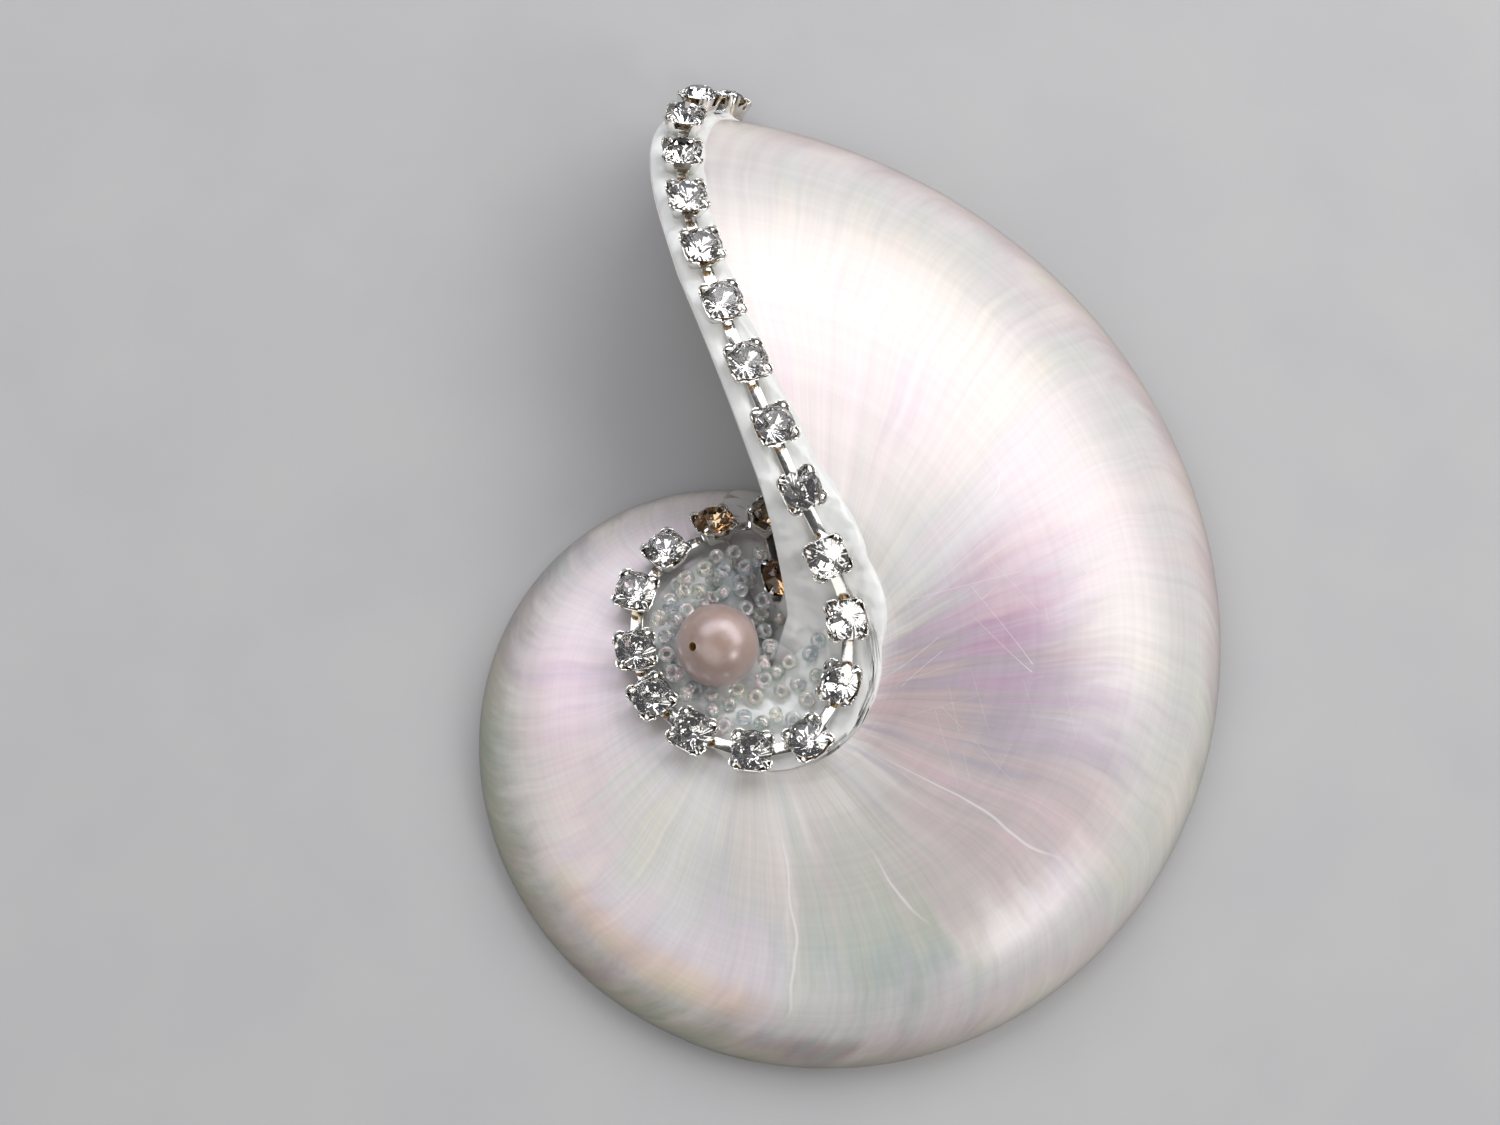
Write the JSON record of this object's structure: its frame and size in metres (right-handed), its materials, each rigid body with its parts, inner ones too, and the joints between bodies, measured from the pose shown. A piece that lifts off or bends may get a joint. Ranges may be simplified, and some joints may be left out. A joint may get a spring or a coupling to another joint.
{
  "type": "decorated nautilus shell half",
  "caption": "Half of a polished nautilus shell, cut on its plane of symmetry, with a chain of set stones along the lip, beads and a pearl in its hollow.",
  "frame": {"origin": "on the coiling axis of the shell, in the plane of the cut", "axes": "+Z out of the cut through the dome, +Y towards the tip of the lip, +X to the right with the dome up"},
  "size_m": [0.0808, 0.1089, 0.0235],
  "materials": {
    "nacre": "polished mother-of-pearl with growth lines and pink and green lustre",
    "silver": "bright silver plate",
    "stone": "clear cut glass with a foiled back",
    "glue": "clear glue gone slightly white",
    "bead": "clear glass with a faint rainbow coat",
    "pearl": "lustrous mauve and peach pearl"
  },
  "bodies": {
    "root": {"shell": "nacre", "glue": "glue", "bead_bed": "bead", "pearl": "pearl", "setting_01": "silver", "stone_01": "stone", "setting_02": "silver", "stone_02": "stone", "setting_03": "silver", "stone_03": "stone", "setting_04": "silver", "stone_04": "stone", "setting_05": "silver", "stone_05": "stone", "setting_06": "silver", "stone_06": "stone", "setting_07": "silver", "stone_07": "stone", "setting_08": "silver", "stone_08": "stone", "setting_09": "silver", "stone_09": "stone", "setting_10": "silver", "stone_10": "stone", "setting_11": "silver", "stone_11": "stone", "setting_12": "silver", "stone_12": "stone", "setting_13": "silver", "stone_13": "stone", "setting_14": "silver", "stone_14": "stone", "setting_15": "silver", "stone_15": "stone", "setting_16": "silver", "stone_16": "stone", "setting_17": "silver", "stone_17": "stone", "setting_18": "silver", "stone_18": "stone", "setting_19": "silver", "stone_19": "stone", "setting_20": "silver", "stone_20": "stone", "setting_21": "silver", "stone_21": "stone", "setting_22": "silver", "stone_22": "stone", "setting_23": "silver", "stone_23": "stone"}
  },
  "joints": []
}
